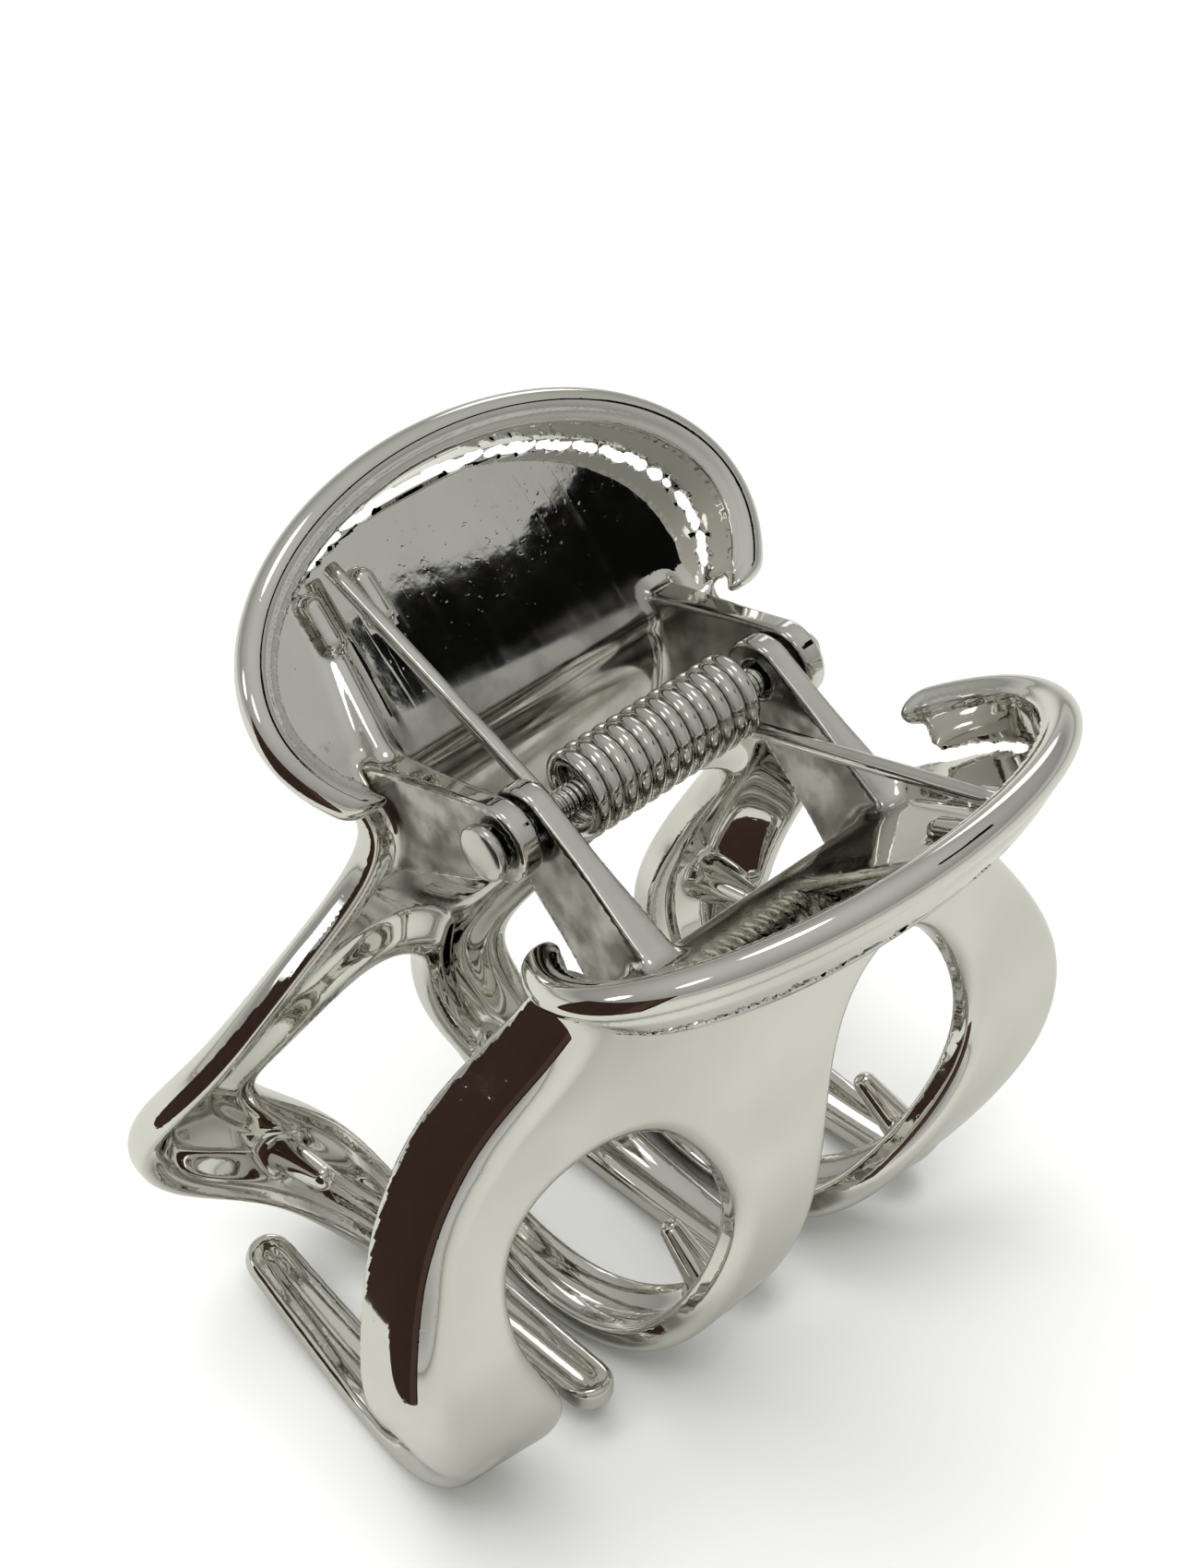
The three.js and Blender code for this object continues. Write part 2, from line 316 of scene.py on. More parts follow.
def look_up(values, x, s):
    """A map's value between its grid points, smooth to its slope."""
    u, v = (x - MAP_X) / MAP_STEP, (s - MAP_S) / MAP_STEP
    i = np.clip(np.rint(u), 1, MAP_COUNT[0] - 2).astype(int)
    j = np.clip(np.rint(v), 1, MAP_COUNT[1] - 2).astype(int)
    fu, fv = np.clip(u - i, -0.5, 0.5), np.clip(v - j, -0.5, 0.5)
    weights = lambda f: (0.5 * (0.5 - f) ** 2, 0.75 - f * f, 0.5 * (0.5 + f) ** 2)
    total = 0
    for a, wa in enumerate(weights(fu)):
        for b, wb in enumerate(weights(fv)):
            total = total + wa * wb * values[i + a - 1, j + b - 1]
    return total


# --- the casting as a distance -------------------------------------------------------------------


def crown(x, s):
    """How far the wall's left arm bows inward."""
    bow = smooth_step(-7, -22, x) * smooth_step(2, 12, s)
    return 1.5 * bow * (1 - smooth_step(33, 46, s))


def wall(x, y, z):
    """The bent plate: rolled outer edges, rims round its hollow inner side, near-solid fingers."""
    s, w = unbend(y, z)
    edge = look_up(EDGE_MAP, x, s)
    side = look_up(SIDE_MAP, x, s)
    finger = smooth_step(33, 46, s)
    left = smooth_step(0, -8, x)
    w = w - crown(x, s)
    roll = mix(mix(1.15, mix(1.25, 2.0, left), side), 1.05, finger)
    flange = mix(1.25, mix(2.9, 3.7, smooth_step(3, 10, s)), left)
    flange = mix(0.2, flange, smooth_step(0.3, 4.3, s))
    rim = mix(mix(1.25, flange, side), 1.0, finger)
    floor = mix(mix(-0.55, 0.1, smooth_step(-1, 5, s)), 0.65, finger)
    outer = round_corner(-edge, -w - HALF_PLATE, roll)
    lip = round_corner(-edge, w - rim, 0.5)
    inner_rise = smooth_step(0.8, mix(3.0, 1.9, finger), edge)
    inner = (w - mix(rim, floor, inner_rise)) / mix(1.25, 1.0, finger)
    plate = cut(np.maximum(outer, lip), inner, 0.35)
    return cut(plate, WALL_TOP - s, 0.8)


def handle_frame(y, z):
    """Distance up the handle, and out from its open face."""
    dy, dz = y - HANDLE_Y, z - HANDLE_Z
    sin, cos = math.sin(HANDLE_LEAN), math.cos(HANDLE_LEAN)
    return dz * cos - dy * sin, dy * cos + dz * sin


def from_handle(x, along, out):
    sin, cos = math.sin(HANDLE_LEAN), math.cos(HANDLE_LEAN)
    return np.array([x, HANDLE_Y - along * sin + out * cos, HANDLE_Z + along * cos + out * sin])


def dish(x, y, z):
    """The thumb rest: a shallow oval bowl with a rolled rim and a fine lip inside it."""
    along, out = handle_frame(y, z)
    wide, high = HANDLE_HALF_WIDTH, HANDLE_HALF_HEIGHT
    k0 = np.hypot(x / wide, along / high)
    k1 = np.hypot(x / wide**2, along / high**2) + 1e-6
    inward = k0 * (1 - k0) / k1
    domed = 1 - (1 - np.clip((inward + 1.0) / 6.0, 0, 1)) ** 2.2
    back = -(DISH_DEPTH + DISH_WALL) * domed
    shell = cut(out - 0.1, (back - out) / 1.3, 0.2)
    shell = cut(shell, -inward, 0.3)
    bead = np.hypot(inward + 0.08, out) - RIM_RADIUS + 0.08
    fine = np.hypot(inward - 0.88, out - 0.3) - 0.27
    brow = np.clip(0.09 * x - 2.1 - along, 0, None)
    hollow = round_corner(1.12 - inward, -DISH_DEPTH - 0.05 * brow**2 - out, 0.55)
    shell = cut(cut(join(shell, fine, 0.1), -hollow, 0.15), DISH_END - along, 0.9)
    return join(shell, cut(bead, RIM_END - along, 0.8), 0.35)


def segment(x, y, z, start, end, radius_start, radius_end):
    """A bar between two points, rounded at both ends and thinning towards the second."""
    run = end - start
    dx, dy, dz = x - start[0], y - start[1], z - start[2]
    t = np.clip((dx * run[0] + dy * run[1] + dz * run[2]) / (run @ run), 0, 1)
    far = np.sqrt((dx - t * run[0]) ** 2 + (dy - t * run[1]) ** 2 + (dz - t * run[2]) ** 2)
    return far - mix(radius_start, radius_end, t)


def polygon(corners, y, z):
    """Signed distance to a convex polygon."""
    best, inside = np.full(y.shape, 1e9), np.ones(y.shape, bool)
    area = sum(a[0] * b[1] - a[1] * b[0] for a, b in zip(corners, corners[1:] + corners[:1]))
    for (ay, az), (by, bz) in zip(corners, corners[1:] + corners[:1]):
        ey, ez = by - ay, bz - az
        t = np.clip(((y - ay) * ey + (z - az) * ez) / (ey * ey + ez * ez), 0, 1)
        best = np.minimum(best, (y - ay - t * ey) ** 2 + (z - az - t * ez) ** 2)
        inside &= (ey * (z - az) - ez * (y - ay)) * area >= 0
    return np.sqrt(best) * np.where(inside, -1, 1)


def body(x, y, z):
    """Everything but the ears."""
    solid = join(wall(x, y, z), dish(x, y, z), 0.7)
    low, high = from_handle(*RIB_FOOT), from_handle(*RIB_HEAD)
    solid = join(solid, segment(x, y, z, low, high, *RIB_RADII), 1.2)
    for px, ps in PEGS:
        bow = crown(px, ps)
        root = bend(px, ps, PEG_SUNK + bow)
        tip = bend(px, ps, PEG_LENGTH - PEG_TIP_RADIUS + bow)
        peg = segment(x, y, z, root, tip, PEG_ROOT_RADIUS, PEG_TIP_RADIUS)
        solid = join(solid, peg, 0.9)
    for offset in (-NUB_ASIDE, NUB_ASIDE):
        low, high = (
            from_handle(LEG_X + offset, LEG_ALONG - below, NUB_SUNK - DISH_DEPTH)
            for below in NUB_BELOW)
        solid = join(solid, segment(x, y, z, low, high, NUB_RADIUS, NUB_RADIUS), 0.3)
    return solid


def with_ears(solid, x, y, z, ear_x):
    flat = np.minimum(polygon(EAR_CORNERS, y, z), np.hypot(y, z) - EAR_ROUND)
    half = mix(*EAR_HALF_THICKNESS, smooth_step(-3, -9.5, y))
    ears = round_corner(flat, np.abs(np.abs(x) - ear_x) - half, 0.32)
    solid = join(solid, ears, 0.7)
    bore = EAR_BORE - np.hypot(y, z)
    near_ear = np.abs(np.abs(x) - ear_x) < 3
    return np.where(near_ear, cut(solid, bore, 0.15), solid)


# --- a net of quads over a distance --------------------------------------------------------------

LOW = np.array([-26.0, -21.0, -43.5])
HIGH = np.array([26.0, 13.0, 9.6])


def grid_axes():
    return [LOW[i] + GRID * np.arange(int((HIGH[i] - LOW[i]) / GRID) + 1) for i in range(3)]


def sample_grid(distance):
    ax, ay, az = grid_axes()
    y, z = np.meshgrid(ay, az, indexing="ij")
    return np.array([distance(np.full(y.shape, x), y, z) for x in ax])


def surface_net(values):
    """A vertex in each grid cell that the surface passes through, and a quad over each crossing."""
    inside = values < 0
    cell_shape = tuple(n - 1 for n in values.shape)
    total, count = np.zeros(cell_shape + (3,)), np.zeros(cell_shape)
    quads = []
    for axis in range(3):
        head = [slice(None)] * 3
        tail = [slice(None)] * 3
        head[axis], tail[axis] = slice(0, -1), slice(1, None)
        a, b = values[tuple(head)], values[tuple(tail)]
        crossing = np.argwhere(inside[tuple(head)] != inside[tuple(tail)])
        va, vb = a[tuple(crossing.T)], b[tuple(crossing.T)]
        point = crossing.astype(float)
        point[:, axis] += va / (va - vb)
        u, v = (axis + 1) % 3, (axis + 2) % 3
        around = []
        for du, dv in ((0, 0), (1, 0), (1, 1), (0, 1)):
            cell = crossing.copy()
            cell[:, u] -= du
            cell[:, v] -= dv
            around.append(cell)
            fits = np.all((cell >= 0) & (cell < cell_shape), axis=1)
            where = tuple(cell[fits].T)
            np.add.at(total, where, point[fits])
            np.add.at(count, where, 1)
        around = np.stack(around, axis=1)
        fits = np.all((around >= 0) & (around < cell_shape), axis=(1, 2))
        flip = va[fits] < 0
        ring = around[fits]
        ring[~flip] = ring[~flip][:, ::-1]
        quads.append(ring)
    used = count > 0
    number = np.full(cell_shape, -1)
    number[used] = np.arange(used.sum())
    quads = np.concatenate(quads)
    faces = number[quads[..., 0], quads[..., 1], quads[..., 2]]
    points = LOW + GRID * total[used] / count[used][:, None]
    return points, faces


def slope(distance, points):
    """The distance and its gradient at some points."""
    e = 0.03
    x, y, z = points.T
    gradient = np.stack([
        distance(x + e, y, z) - distance(x - e, y, z),
        distance(x, y + e, z) - distance(x, y - e, z),
        distance(x, y, z + e) - distance(x, y, z - e),
    ], axis=1) / (2 * e)
    return distance(x, y, z), gradient


def fit_net(distance, points, faces):
    """Evens out the net and puts its vertices on the surface. Returns them with their normals."""
    ends = np.concatenate([faces[:, [i, (i + 1) % 4]] for i in range(4)])
    ends = np.concatenate([ends, ends[:, ::-1]])
    degree = np.bincount(ends[:, 0], minlength=len(points))[:, None]
    for turn in range(3):
        value, gradient = slope(distance, points)
        size = np.maximum((gradient**2).sum(axis=1), 0.05)
        move = -(value / size)[:, None] * gradient
        points = points + np.clip(move, -0.4 * GRID, 0.4 * GRID)
        if turn < 2:
            middle = np.stack([
                np.bincount(ends[:, 0], points[ends[:, 1], i], len(points)) for i in range(3)
            ], axis=1) / degree
            pull = middle - points
            normal = gradient / np.sqrt(size)[:, None]
            pull -= (pull * normal).sum(axis=1)[:, None] * normal
            points = points + 0.5 * pull
    _, gradient = slope(distance, points)
    return points, gradient / np.maximum(np.linalg.norm(gradient, axis=1), 1e-6)[:, None]


def add_mesh(name, points, faces, normals=None):
    """A smooth-shaded mesh from points in millimetres round the hinge."""
    mesh = bpy.data.meshes.new(name)
    sides = faces.shape[1]
    mesh.vertices.add(len(points))
    mesh.vertices.foreach_set("co", ((points + [0, 0, HINGE_HEIGHT]) * MM).ravel())
    mesh.loops.add(faces.size)
    mesh.loops.foreach_set("vertex_index", faces.ravel().astype(np.int32))
    mesh.polygons.add(len(faces))
    mesh.polygons.foreach_set("loop_start", np.arange(0, faces.size, sides, dtype=np.int32))
    mesh.polygons.foreach_set("use_smooth", np.ones(len(faces), bool))
    mesh.update(calc_edges=True)
    if normals is not None:
        mesh.normals_split_custom_set_from_vertices(normals)
    piece = bpy.data.objects.new(name, mesh)
    bpy.context.scene.collection.objects.link(piece)
    return piece


def castings():
    """The front and rear jaws, from one net of distances with each jaw's own ears."""
    shared = sample_grid(body)
    ax, ay, az = grid_axes()
    y, z = np.meshgrid(ay, az, indexing="ij")
    made = {}
    for which, ear_x in EAR_X.items():
        values = np.array([
            with_ears(plane, np.full(y.shape, x), y, z, ear_x) for x, plane in zip(ax, shared)
        ])
        distance = lambda x, y, z, e=ear_x: with_ears(body(x, y, z), x, y, z, e)
        points, faces = surface_net(values)
        points, normals = fit_net(distance, points, faces)
        s, w = unbend(points[:, 1], points[:, 2])
        if which == "rear":
            turn = np.array([-1, -1, 1])
            points, normals = points * turn, normals * turn
        piece = add_mesh(which + "_casting", points, faces, normals)
        # A mask for a rougher as-cast finish and for painted shade: dark grey on the ears' flat
        # sides and, at 0.6, on the inner wall between the ears.
        beside = np.abs(np.abs(points[:, 0]) - ear_x)
        flat = smooth_step(0.8, 0.97, np.abs(normals[:, 0])) * smooth_step(1.5, 1.1, beside)
        between = smooth_step(ear_x, ear_x - 1, np.abs(points[:, 0]))
        inner = smooth_step(-0.4, 0.0, w) * smooth_step(14, 9, s) * smooth_step(-1, 0.5, s)
        flat = np.maximum(flat, 0.6 * between * inner)
        satin_and_painted_shade = piece.data.attributes.new("satin_and_painted_shade", "FLOAT", "POINT")
        satin_and_painted_shade.data.foreach_set("value", flat.astype(np.float32))
        made[which] = piece
    return made


# --- the pin and the spring ----------------------------------------------------------------------

PIN_RADIUS = 0.8
PIN_SIDES = 32
PIN_HEAD = [
    (-11.90, 0.0), (-11.90, 0.8), (-11.88, 1.2), (-11.82, 1.42), (-11.70, 1.53),
    (-11.50, 1.55), (-11.30, 1.53), (-11.22, 1.45), (-11.2, 1.2), (-11.2, 0.84),
    (-11.1, PIN_RADIUS), (-7.6, PIN_RADIUS),
]
PIN_TAIL = [
    (7.7, PIN_RADIUS), (11.1, PIN_RADIUS), (11.15, 0.9), (11.2, 0.98), (11.35, 1.0),
    (11.55, 0.93), (11.75, 0.85), (11.92, 0.72), (12.04, 0.5), (12.1, 0.2), (12.1, 0.0),
]
THREAD_PITCH, THREAD_DEPTH = 0.36, 0.11
WIRE_RADIUS = 0.46
COIL_RADIUS = 1.95
COIL_LEFT, COIL_RIGHT = -5.7, 6.15
COIL_TURNS = 12


def pin():
    """A headed pin with a fine thread between the ears and a peened right end."""
    thread = [(x, PIN_RADIUS) for x in np.arange(-7.55, 7.65, THREAD_PITCH / 8)]
    rings = np.array(PIN_HEAD + thread + PIN_TAIL)
    angle = np.arange(PIN_SIDES) / PIN_SIDES * 2 * math.pi
    x = rings[:, 0][:, None] + 0 * angle
    radius = rings[:, 1][:, None] + 0 * angle
    wave = 0.5 + 0.5 * np.cos(2 * math.pi * x / THREAD_PITCH - angle)
    fade = smooth_step(7.5, 7.2, np.abs(x))
    radius = radius - THREAD_DEPTH * wave**0.7 * fade
    points = np.stack([x, radius * np.cos(angle), radius * np.sin(angle)], axis=-1)
    return points.reshape(-1, 3), tube_faces(len(rings), PIN_SIDES)


def tube_faces(rings, sides):
    i, j = np.meshgrid(np.arange(rings - 1), np.arange(sides), indexing="ij")
    k = (j + 1) % sides
    return np.stack([
        i * sides + j, i * sides + k, (i + 1) * sides + k, (i + 1) * sides + j
    ], axis=-1).reshape(-1, 4)


def spring_path():
    """Rear leg, coil and front leg as one line."""
    end = from_handle(LEG_X, LEG_ALONG, -LEG_DEPTH)
    lift = math.atan2(end[2] + COIL_RADIUS, -end[1])
    share = np.linspace(0, 1, COIL_TURNS * 40)
    angle = share * (COIL_TURNS * 2 * math.pi + 2 * lift) - lift
    coil = np.stack([
        mix(COIL_LEFT, COIL_RIGHT, share), -COIL_RADIUS * np.sin(angle),
        -COIL_RADIUS * np.cos(angle),
    ], axis=1)
    reach = np.linspace(0, 1, 14)[:, None]
    far = end * [-1, -1, 1]
    rear = mix(far, coil[0], reach[:-1])
    front = mix(coil[-1], end, reach[1:])
    return np.vstack([rear, coil, front])


def wire(path, radius, sides):
    """A round wire along a path, its ends chamfered and closed."""
    ahead = np.gradient(path, axis=0)
    ahead /= np.linalg.norm(ahead, axis=1)[:, None]
    side = np.cross(ahead[0], [1, 0, 0])
    side /= np.linalg.norm(side)
    angle = np.arange(sides) / sides * 2 * math.pi
    rings = []
    for point, forward in zip(path, ahead):
        side = side - (side @ forward) * forward
        side /= np.linalg.norm(side)
        up = np.cross(forward, side)
        spoke = np.cos(angle)[:, None] * side + np.sin(angle)[:, None] * up
        rings.append((point, forward, spoke))
    ends = [(0.0, 0.0), (0.0, radius * 0.8), (0.09, radius)]
    first, last = rings[0], rings[-1]
    opening = [(first[0] + first[1] * back, first[2] * size) for back, size in ends]
    closing = [(last[0] - last[1] * back, last[2] * size) for back, size in reversed(ends)]
    middle = [(p, s * radius) for p, _, s in rings[1:-1]]
    points = np.vstack([p + s for p, s in opening + middle + closing])
    return points, tube_faces(len(points) // sides, sides)


# --- materials -----------------------------------------------------------------------------------


def plated(name, pale, dark, rough, waviness, scratch, pit, satin_and_painted_shade=False):
    """Bright plating on cast metal: cloudy tone, soft waviness, fine scratches and pits; optionally
    a rougher finish with painted shade, read from a mask attribute.
    """
    material = bpy.data.materials.new(name)
    material.use_nodes = True
    nodes, links = material.node_tree.nodes, material.node_tree.links
    shader = nodes["Principled BSDF"]
    shader.inputs["Metallic"].default_value = 1.0
    where = nodes.new("ShaderNodeTexCoord").outputs["Object"]

    def noise(scale, detail, stretch=(1, 1, 1)):
        mapping = nodes.new("ShaderNodeMapping")
        mapping.inputs["Scale"].default_value = [v * scale / MM for v in stretch]
        links.new(where, mapping.inputs["Vector"])
        texture = nodes.new("ShaderNodeTexNoise")
        texture.inputs["Scale"].default_value = 1.0
        texture.inputs["Detail"].default_value = detail
        links.new(mapping.outputs["Vector"], texture.inputs["Vector"])
        return texture.outputs["Fac"]

    def spread(value, low, high, out_low, out_high):
        remap = nodes.new("ShaderNodeMapRange")
        for key, number in zip(("From Min", "From Max", "To Min", "To Max"),
                               (low, high, out_low, out_high)):
            remap.inputs[key].default_value = number
        links.new(value, remap.inputs["Value"])
        return remap.outputs["Result"]

    def combine(a, b, operation):
        node = nodes.new("ShaderNodeMath")
        node.operation = operation
        links.new(a, node.inputs[0])
        links.new(b, node.inputs[1])
        return node.outputs[0]

    def add(a, b):
        return combine(a, b, "ADD")

    def multiply(a, b):
        return combine(a, b, "MULTIPLY")

    cloud = noise(0.12, 4)
    ramp = nodes.new("ShaderNodeValToRGB")
    ramp.color_ramp.elements[0].position = 0.3
    ramp.color_ramp.elements[0].color = (*dark, 1)
    ramp.color_ramp.elements[1].position = 0.62
    ramp.color_ramp.elements[1].color = (*pale, 1)
    links.new(cloud, ramp.inputs["Fac"])
    tone = ramp.outputs["Color"]

    smear = spread(noise(0.5, 6), 0.35, 0.7, rough * 0.6, rough * 1.5)
    streak = spread(noise(1.6, 3, (1.0, 0.08, 0.08)), 0.56, 0.72, 0.0, scratch)
    dull = add(smear, streak)
    if satin_and_painted_shade:  # rougher as-cast finish on the ears' flat sides, with painted shade: dark grey there and on the inner wall between the ears
        mask = nodes.new("ShaderNodeAttribute")
        mask.attribute_name = "satin_and_painted_shade"
        grey = nodes.new("ShaderNodeMix")
        grey.data_type = "RGBA"
        # painted shade colour, mixed in where the mask and a cloudy noise allow
        grey.inputs["B"].default_value = (0.19, 0.18, 0.16, 1)
        painted_shade_cover = multiply(mask.outputs["Fac"], spread(noise(0.45, 5), 0.38, 0.62, 0.5, 1.0))
        links.new(painted_shade_cover, grey.inputs["Factor"])
        links.new(tone, grey.inputs["A"])
        tone = grey.outputs["Result"]
        dull = add(dull, spread(painted_shade_cover, 0, 1, 0, 0.22))
    links.new(tone, shader.inputs["Base Color"])
    links.new(dull, shader.inputs["Roughness"])

    waves = spread(noise(0.35, 2), 0, 1, 0, waviness)
    peel = spread(noise(1.4, 2), 0, 1, 0, waviness * 0.22)
    pits = spread(noise(2.6, 2), 0.66, 0.78, 0, -pit)
    lines = spread(noise(1.1, 4, (2.2, 0.12, 0.12)), 0.6, 0.75, 0, -pit)
    height = add(add(waves, peel), add(pits, lines))
    bump = nodes.new("ShaderNodeBump")
    bump.inputs["Strength"].default_value = 1.0
    bump.inputs["Distance"].default_value = MM
    links.new(height, bump.inputs["Height"])
    links.new(bump.outputs["Normal"], shader.inputs["Normal"])
    return material


def dress(piece, material, node, rides=None):
    piece.data.materials.append(material)
    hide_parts(node)
    if rides:
        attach(piece, rides)


# The castings' material also paints dark grey shade on the ears' sides and between the ears.
NICKEL = plated(
    "nickel_casting", (0.74, 0.73, 0.68), (0.66, 0.65, 0.60), 0.035, 0.007, 0.04, 0.0015, True)
PIN_STEEL = plated("pin_steel", (0.66, 0.65, 0.61), (0.56, 0.55, 0.51), 0.16, 0.02, 0.12, 0.004)
WIRE_STEEL = plated(
    "spring_wire", (0.72, 0.71, 0.66), (0.52, 0.51, 0.47), 0.08, 0.02, 0.14, 0.003)

jaws = castings()
dress(jaws["front"], NICKEL, "front_jaw", "front_half")
dress(jaws["rear"], NICKEL, "rear_jaw", "rear_half")
hinge_pin = add_mesh("pin", *pin())
dress(hinge_pin, PIN_STEEL, "hinge_pin", "rear_half")
spring = add_mesh("spring", *wire(spring_path(), WIRE_RADIUS, 18))
dress(spring, WIRE_STEEL, "torsion_spring")
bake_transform(spring)


# --- stage, light and camera ---------------------------------------------------------------------


def plain(name, color):
    """A matt finish for the stage."""
    material = bpy.data.materials.new(name)
    material.use_nodes = True
    shader = material.node_tree.nodes["Principled BSDF"]
    shader.inputs["Base Color"].default_value = (*color, 1)
    shader.inputs["Roughness"].default_value = 1.0
    shader.inputs["Specular IOR Level"].default_value = 0.0
    return material


def panel(name, corners, color):
    """A flat panel that is only seen in reflections. Its corners are in millimetres."""
    mesh = bpy.data.meshes.new(name)
    mesh.from_pydata([[v * MM for v in corner] for corner in corners], [],
                     [list(range(len(corners)))])
    mesh.materials.append(plain(name, color))
    made = bpy.data.objects.new(name, mesh)
    bpy.context.scene.collection.objects.link(made)
    made.visible_camera = made.visible_shadow = made.visible_diffuse = False
    return made


def square(half, z):
    return [(-half, -half, z), (half, -half, z), (half, half, z), (-half, half, z)]


def floor():
    """A pale floor; reflections see a greyer one, as on a lit table in a dim room."""
    shown = panel("floor", square(2000, 0), (0.9, 0.9, 0.89))
    shown.visible_camera = shown.visible_shadow = shown.visible_diffuse = True
    shown.visible_glossy = False
    panel("floor_reflected", square(2000, 0.05), (0.60, 0.60, 0.57))


def mirrored_panel(name, outline, distance, color):
    """A dark panel placed so that this outline on the rear handle's floor reflects it."""
    along = Vector((0, math.sin(HANDLE_LEAN), math.cos(HANDLE_LEAN)))
    out = Vector((0, -math.cos(HANDLE_LEAN), math.sin(HANDLE_LEAN)))
    middle = Vector((0, -HANDLE_Y, HANDLE_Z + HINGE_HEIGHT)) - DISH_DEPTH * out
    eye = bpy.context.scene.camera.matrix_world.translation / MM
    behind = eye - 2 * (eye - middle).dot(out) * out
    corners = []
    for x, up in outline:
        point = middle + Vector((x, 0, 0)) + up * along
        corners.append(point + (point - behind).normalized() * distance)
    return panel(name, corners, color)


def world():
    """A dim studio, graded by height, with a few soft windows of light."""
    studio = bpy.data.worlds.new("studio")
    bpy.context.scene.world = studio
    studio.use_nodes = True
    nodes, links = studio.node_tree.nodes, studio.node_tree.links
    direction = nodes.new("ShaderNodeTexCoord").outputs["Generated"]
    split = nodes.new("ShaderNodeSeparateXYZ")
    links.new(direction, split.inputs[0])
    height = nodes.new("ShaderNodeMapRange")
    height.inputs["From Min"].default_value = -1.0
    links.new(split.outputs["Z"], height.inputs["Value"])
    ramp = nodes.new("ShaderNodeValToRGB")
    for i, (position, grey) in enumerate(STUDIO_GREYS):
        if i > 1:
            ramp.color_ramp.elements.new(position)
        ramp.color_ramp.elements[i].position = position
        ramp.color_ramp.elements[i].color = (grey, grey, grey * 0.97, 1)
    links.new(height.outputs["Result"], ramp.inputs["Fac"])
    glow = ramp.outputs["Color"]
    for aim, near, far, strength in WINDOWS:
        dot = nodes.new("ShaderNodeVectorMath")
        dot.operation = "DOT_PRODUCT"
        dot.inputs[1].default_value = Vector(aim).normalized()
        links.new(direction, dot.inputs[0])
        edge = nodes.new("ShaderNodeMapRange")
        edge.interpolation_type = "SMOOTHSTEP"
        edge.inputs["From Min"].default_value = math.cos(math.radians(far))
        edge.inputs["From Max"].default_value = math.cos(math.radians(near))
        edge.inputs["To Max"].default_value = strength
        links.new(dot.outputs["Value"], edge.inputs["Value"])
        add = nodes.new("ShaderNodeMix")
        add.data_type, add.blend_type = "RGBA", "ADD"
        add.inputs["Factor"].default_value = 1.0
        links.new(glow, add.inputs["A"])
        links.new(edge.outputs["Result"], add.inputs["B"])
        glow = add.outputs["Result"]
    links.new(glow, nodes["Background"].inputs["Color"])


# The studio's brightness by height, from straight down at 0 to straight up at 1
STUDIO_GREYS = [
    (0.0, 0.30), (0.44, 0.42), (0.52, 0.62), (0.62, 0.34), (0.82, 0.46), (1.0, 0.62),
]

# A dark panel over the clip, as the outline of its reflection on the rear handle's floor
DARK_OUTLINE = [
    (-7.5, -9), (24, -9), (24, 9), (12.4, 9), (10, 5), (3.9, 2.8), (-4.2, 4.0), (-7.5, 3.6),
]
DARK_DISTANCE = 220

# A brown panel stands to the left of the clip: its bands along Y, and their colours
BROWN_X, BROWN_TOP = -60, 60
BROWN_BANDS = [
    (-47, -43, (0.006, 0.005, 0.004)), (-43, -28, (0.085, 0.052, 0.042)),
    (-28, 26, (0.05, 0.029, 0.023)),
]

# Soft windows of light: direction, bright and faded half angle in degrees, added brightness
WINDOWS = [
    ((0.1, 0.33, 0.94), 7, 10, 2.2),
    ((-0.6, -0.1, 0.8), 5, 8, 1.4),
    ((-0.75, 0.45, 0.5), 6, 9, 1.6),
    ((0.7, 0.6, 0.35), 8, 12, 1.2),
]


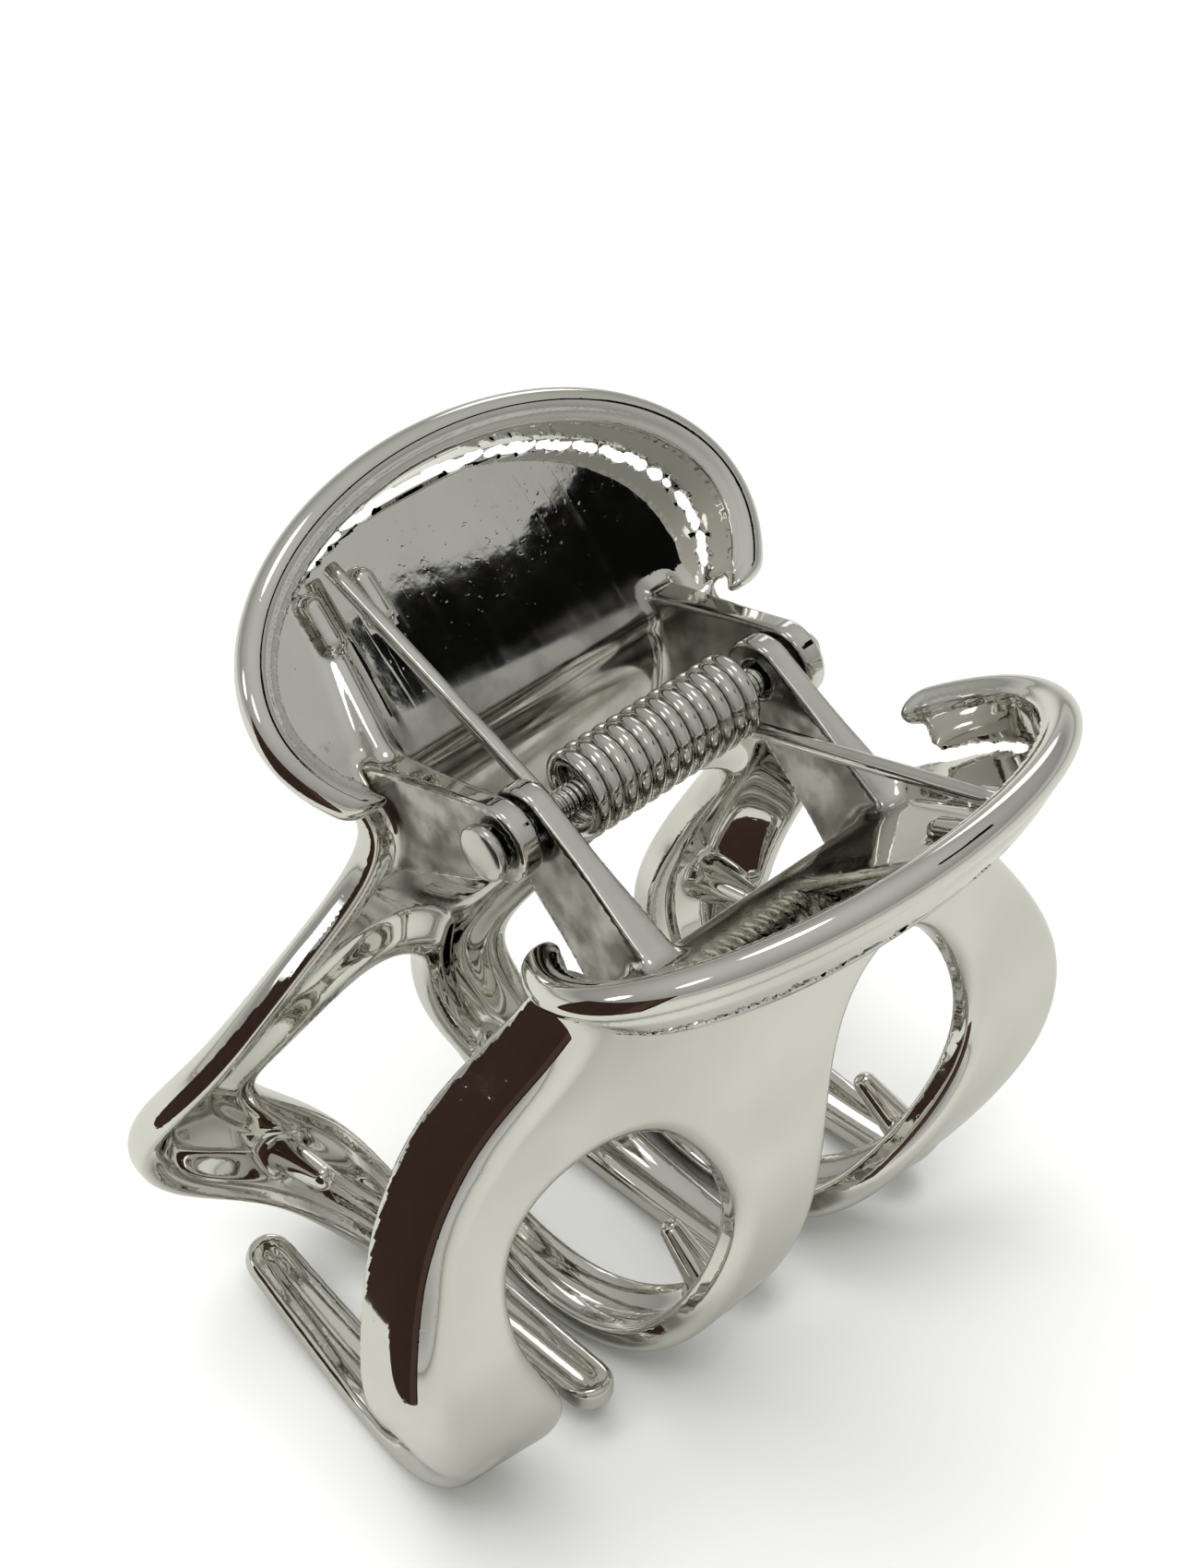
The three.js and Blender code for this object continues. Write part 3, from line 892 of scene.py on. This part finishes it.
def area_light(name, location, size, energy, target=(0, 0, 25)):
    data = bpy.data.lights.new(name, "AREA")
    data.shape, data.size, data.size_y = "RECTANGLE", size[0] * MM, size[1] * MM
    data.energy = energy
    lamp = bpy.data.objects.new(name, data)
    lamp.location = [v * MM for v in location]
    lamp.rotation_mode = "QUATERNION"
    aim = Vector(location) - Vector(target)
    lamp.rotation_quaternion = aim.to_track_quat("Z", "Y")
    lamp.visible_glossy = False
    bpy.context.scene.collection.objects.link(lamp)


# The camera looks at CAMERA_AIM, in millimetres, from this direction in degrees
CAMERA_TURN, CAMERA_RISE, CAMERA_ROLL = 48.48, 46.03, 6.53
CAMERA_AIM = (1.94, 4.92, 34.01)
CAMERA_DISTANCE = 159.8
CAMERA_LENS = 67.83


def camera():
    azimuth, elevation, roll = (
        math.radians(v) for v in (CAMERA_TURN, CAMERA_RISE, CAMERA_ROLL))
    back = Vector((
        -math.sin(azimuth) * math.cos(elevation), -math.cos(azimuth) * math.cos(elevation),
        math.sin(elevation)))
    right = (-back).cross(Vector((0, 0, 1))).normalized()
    up = right.cross(-back)
    tilted = math.cos(roll) * right + math.sin(roll) * up
    over = math.cos(roll) * up - math.sin(roll) * right
    data = bpy.data.cameras.new("camera")
    data.sensor_width, data.lens = 36, CAMERA_LENS
    data.clip_start, data.clip_end = 0.01, 20
    eye = bpy.data.objects.new("camera", data)
    place = (Vector(CAMERA_AIM) + CAMERA_DISTANCE * back) * MM
    turn = Matrix((tilted, over, back)).transposed().to_4x4()
    eye.matrix_world = Matrix.Translation(place) @ turn
    bpy.context.scene.collection.objects.link(eye)
    bpy.context.scene.camera = eye


camera()
floor()
world()
area_light("overhead", (-60, 80, 520), (520, 520), 3.2)
mirrored_panel("dark_panel", DARK_OUTLINE, DARK_DISTANCE, (0.004, 0.004, 0.004))
for i, (near, far, color) in enumerate(BROWN_BANDS):
    low = [(BROWN_X, near, 0), (BROWN_X, far, 0)]
    panel("brown_panel_%d" % i, low + [(BROWN_X, y, BROWN_TOP) for y in (far, near)], color)
bpy.context.scene.view_settings.view_transform = "Standard"
